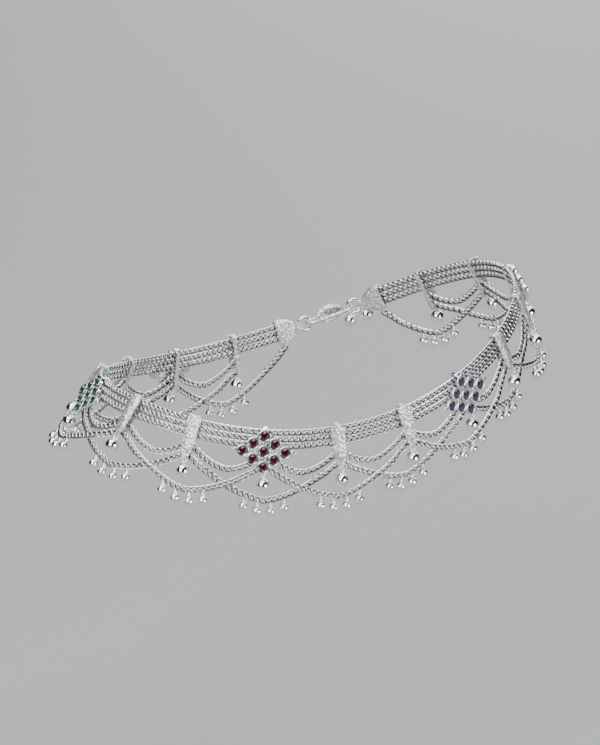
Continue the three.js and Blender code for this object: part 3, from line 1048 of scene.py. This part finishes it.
def makeSetting():
    pieces = [makeBezel(x, y) for x, y in stoneSpots]
    front = bezelFront - smallRing["wire"] / 2
    for i, j in ((1, 0), (-1, 0), (0, 1), (0, -1)):
        x = i * rosette["across"]
        y = j * rosette["down"] - rosette["middle"]
        pieces.append(makeSmallRing(x, y, smallRing["radius"], smallRing["wire"], front))
    lugReach = smallRing["lugRadius"] * smallRing["lugSunk"]
    lugOut = frontGap + bezel["depth"] / 2
    for side in (-1, 1):
        x = side * (2 * rosette["across"] + bezel["diameter"] / 2 + lugReach)
        y = -rosette["middle"]
        pieces.append(makeSmallRing(x, y, smallRing["lugRadius"], smallRing["lugWire"], lugOut))
    pieces.append(makeEye(rosette["eyeRadius"], rosette["eyeWire"], rosette["eyeDown"], rosetteEyeOut))
    pieces.append(makeStrap())
    return takeShape(settle(joinPieces(pieces), smoothAngle=45))


# A stone: a straight foot in its bezel, then two rings of facets up to the table. Each ring has its
# share of the height and narrows by its second number, and is turned by half a facet
def makeStone(x, y):
    deselectAll()
    girdle = bezelFront - stone["sunk"]
    bpy.ops.mesh.primitive_circle_add(
        vertices=stone["sides"],
        radius=stone["diameter"] / 2 * stone["fit"],
        fill_type="NGON",
        location=(x, y, girdle - bezel["seat"] / 2),
    )
    piece = settle(bpy.context.object)
    pickPoints(piece, lambda point: True)
    drawOut((0, 0, bezel["seat"] / 2))
    middle = (x, y, girdle)
    turn = math.radians(stone["turn"])
    for rise, share in stone["facets"]:
        drawOut((0, 0, rise * stone["height"]))
        bpy.ops.transform.resize(value=(share, share, 1), center_override=middle)
        bpy.ops.transform.rotate(value=turn, orient_axis="Z", center_override=middle)
    bpy.ops.mesh.select_all(action="SELECT")
    bpy.ops.mesh.quads_convert_to_tris()
    bpy.ops.mesh.normals_make_consistent(inside=False)
    bpy.ops.object.mode_set(mode="OBJECT")
    return piece


barShape = makeBar()
dropShape = makeDrop(ball["bailRadius"], ball["below"])
settingShape = makeSetting()
stonesShape = takeShape(joinPieces([makeStone(x, y) for x, y in stoneSpots]))
barNumber = 0
rosetteNumber = 0
for number, slot in enumerate(slots, 1):
    place = placeAt(slotAt(slot))
    if slot % worn["rosetteEvery"] == 0:
        rosetteNumber += 1
        gem = gemNames[slot // worn["rosetteEvery"] % len(gemNames)]
        node = f"{gem}_rosette_{rosetteNumber}"
        name = f"rosette_setting_{rosetteNumber}"
        setPiece(name, settingShape, [place], satinSilver, [node])
        name = f"{gem}_stones_{rosetteNumber}"
        setPiece(name, stonesShape, [place], gemStones[gem], [node])
        eyeAt = (0, -rosette["eyeDown"], rosetteEyeOut)
    else:
        barNumber += 1
        node = f"bar_{barNumber}"
        name = f"frosted_bar_{barNumber}"
        setPiece(name, barShape, [place], frostedSilver, [node])
        eyeAt = (0, -barEyeDown, barEyeOut)
    fallAlong, fallDown = fallAt(np.float64(slotAt(slot)))
    swing = Matrix.Rotation(math.atan2(fallAlong, fallDown), 4, "Z")
    bail = Matrix.Translation((0, -ball["bailRadius"], 0))
    hung = place @ Matrix.Translation(eyeAt) @ swing @ bail
    node = f"ball_drop_{number}"
    name = f"polished_ball_{number}"
    setPiece(name, dropShape, [hung], polishedSilver, [node])
print("the ornaments are hung")

# The end caps and the clasp. A section of a cap gives its place, its growth in height and in depth
cap = {
    "length": 4.6 * mm,
    "height": bandHeight + 2 * (capGap + capWall),
    "depth": 2.68 * mm,
    "pocket": 1.2 * mm,
    "pocketWall": 0.2 * mm,
    "softEdge": 0.3 * mm,
    "edgeAngle": 0.7,
    "edgeSteps": 2,
    "roundness": 2,
    "cuts": 2,
    "sideFacing": 0.5,
    "mouthFacing": 0.95,
    "margin": 0.05 * mm,
    "eyeHole": 0.65 * mm,
    "eyeWall": 0.4 * mm,
    "eyeSegments": 20,
    "eyeSides": 10,
    "sections": [(1 / 3, 1.02, 1.08), (2 / 3, 0.86, 0.98), (1, 0.45, 0.6)],
}
hook = {
    "bend": 1.35 * mm,
    "bendSteps": 6,
    "wire": 0.84 * mm,
    "opening": 0.7 * mm,
    "fit": 0.3 * mm,
    "wireSides": 3,
    "smoothness": 4,
}
leaf = {
    "length": 6.4 * mm,
    "width": 3.9 * mm,
    "height": 0.9 * mm,
    "segments": 40,
    "rings": 24,
    "footShare": 0.4,
}
ring = {"radius": 1.55 * mm, "wire": 0.64 * mm, "segments": 36, "sides": 12}
claspBall = {"bailRadius": 0.66 * mm, "below": 2 * mm, "spread": 34}


def makeCap():
    deselectAll()
    middle = (cap["length"] / 2, -bandHeight / 2, 0)
    bpy.ops.mesh.primitive_cube_add(size=1, location=middle)
    piece = bpy.context.object
    piece.scale = (cap["length"], cap["height"], cap["depth"])
    settle(piece)
    pickFaces(piece, lambda face: abs(face.normal.x) < cap["sideFacing"])
    bpy.ops.mesh.subdivide(number_cuts=cap["cuts"])
    for share, taller, thicker in cap["sections"]:
        x = share * cap["length"]
        pickPoints(piece, lambda point: abs(point.x - x) < cap["margin"])
        middle = (x, -bandHeight / 2, 0)
        bpy.ops.transform.resize(value=(1, taller, thicker), center_override=middle)
    bpy.ops.object.mode_set(mode="OBJECT")
    softenEdges(piece, cap["softEdge"], cap["edgeSteps"], cap["edgeAngle"])
    pickFaces(piece, lambda face: face.normal.x < -cap["mouthFacing"])
    bpy.ops.mesh.inset(thickness=cap["pocketWall"], depth=0)
    drawOut((cap["pocket"], 0, 0))
    bpy.ops.object.mode_set(mode="OBJECT")
    applyModifier(piece, "SUBSURF", levels=cap["roundness"], render_levels=cap["roundness"])
    settle(piece, smoothAngle=60)
    loop = addRing(
        cap["eyeHole"] + cap["eyeWall"] / 2,
        cap["eyeWall"],
        cap["eyeSegments"],
        cap["eyeSides"],
        at=(cap["length"] + cap["eyeHole"], -bandHeight / 2, 0),
        turned=(quarterTurn, 0, 0),
    )
    return takeShape(joinPieces([piece, settle(loop, smoothAngle=60)]))


# The middle of a cap's eye: further along the loop than the last mouth (side 1), or back along it
# from the first (side -1)
def capEye(mouth, side):
    origin, along, down, out = skinAt(np.float64(mouth))
    ahead = side * (cap["length"] + cap["eyeHole"])
    return Vector(origin + along * ahead + down * bandHeight / 2)


# Both rings and the hook lie on the line between the eyes of the two caps, with the hook's face out
eyes = (capEye(lastMouth, 1), capEye(firstMouth, -1))
eyeReach = (eyes[1] - eyes[0]).length / 2
ringMiddle = eyeReach - cap["eyeHole"] - ring["radius"] + ring["wire"] / 2 + hook["fit"]
hookLength = 2 * (ringMiddle - ring["radius"] + ring["wire"] / 2 + hook["fit"] / 2) + hook["wire"]
claspAlong = (eyes[1] - eyes[0]).normalized()
claspOut = Vector(skinAt(np.float64((firstMouth + lastMouth + loopLength) / 2))[3])
claspOut = (claspOut - claspAlong * claspOut.dot(claspAlong)).normalized()
claspPlace = makePlace(claspAlong, claspOut.cross(claspAlong), claspOut, (eyes[0] + eyes[1]) / 2)


# The hook's wire starts under the leaf, runs round both bends and ends short of the leaf, which
# leaves the opening
def hookLine():
    bend = hook["bend"]
    bendMiddle = hookLength / 2 - bend
    points = [(0, 0, bend)]
    for side in (1, -1):
        for k in range(hook["bendSteps"] + 1):
            angle = side * (quarterTurn - math.pi * k / hook["bendSteps"])
            points.append((side * (bendMiddle + bend * math.cos(angle)), 0, bend * math.sin(angle)))
    points.append((-leaf["length"] / 2 - hook["opening"], 0, bend))
    return points


def makeWire():
    points = hookLine()
    path = bpy.data.curves.new("hookWire", "CURVE")
    path.dimensions = "3D"
    path.bevel_depth = hook["wire"] / 2
    path.bevel_resolution = hook["wireSides"]
    path.resolution_u = hook["smoothness"]
    path.use_fill_caps = True
    line = path.splines.new("NURBS")
    line.points.add(len(points) - 1)
    for spot, point in zip(line.points, points):
        spot.co = (*point, 1)
    line.use_endpoint_u = True
    line.order_u = 3
    deselectAll()
    wire = bpy.data.objects.new("hookWire", path)
    bpy.context.collection.objects.link(wire)
    wire.select_set(True)
    bpy.context.view_layer.objects.active = wire
    bpy.ops.object.convert(target="MESH")
    return bpy.context.object


# The leaf is the upper part of a flat ball
def makeLeaf():
    deselectAll()
    bpy.ops.mesh.primitive_uv_sphere_add(
        segments=leaf["segments"],
        ring_count=leaf["rings"],
        radius=1,
        location=(0, 0, hook["bend"]),
    )
    plate = bpy.context.object
    plate.scale = (leaf["length"] / 2, leaf["width"] / 2, leaf["height"])
    settle(plate)
    bpy.ops.object.mode_set(mode="EDIT")
    bpy.ops.mesh.select_all(action="SELECT")
    foot = (0, 0, hook["bend"] - leaf["footShare"] * leaf["height"])
    bpy.ops.mesh.bisect(plane_co=foot, plane_no=(0, 0, 1), use_fill=True, clear_inner=True)
    return settle(plate, smoothAngle=50)


def makeHook():
    whole = joinPieces([makeWire(), makeLeaf()])
    return takeShape(settle(whole, smoothAngle=50))


def makeRing():
    link = addRing(ring["radius"], ring["wire"], ring["segments"], ring["sides"])
    return takeShape(settle(link, smoothAngle=60))


capShape = makeCap()
capPlaces = {
    "instep_side": placeAt(firstMouth) @ Matrix.Rotation(math.pi, 4, "Y"),
    "heel_side": placeAt(lastMouth),
}
for side, place in capPlaces.items():
    setPiece(f"{side}_end_cap", capShape, [place], frostedSilver, [f"{side}_cap"])
setPiece("leaf_hook", makeHook(), [claspPlace], frostedSilver, ["clasp_hook"])

ringShape = makeRing()
ringPlaces = {
    "heel_side": claspPlace @ Matrix.Translation((-ringMiddle, 0, 0)),
    "instep_side": claspPlace @ Matrix.Translation((ringMiddle, 0, 0)),
}
for side, place in ringPlaces.items():
    setPiece(f"{side}_link", ringShape, [place], polishedSilver, [f"{side}_ring"])

claspDrop = makeDrop(claspBall["bailRadius"], claspBall["below"])
for number, side in enumerate((-1, 1), 1):
    angle = math.radians(side * claspBall["spread"])
    at = (ring["radius"] * math.sin(angle), -ring["radius"] * math.cos(angle), 0)
    swing = Matrix.Rotation(angle, 4, "Z")
    hung = ringPlaces["heel_side"] @ Matrix.Translation(at) @ swing
    node = f"clasp_ball_{number}"
    name = f"clasp_drop_{number}"
    setPiece(name, claspDrop, [hung], polishedSilver, [node])
print("the clasp is closed")
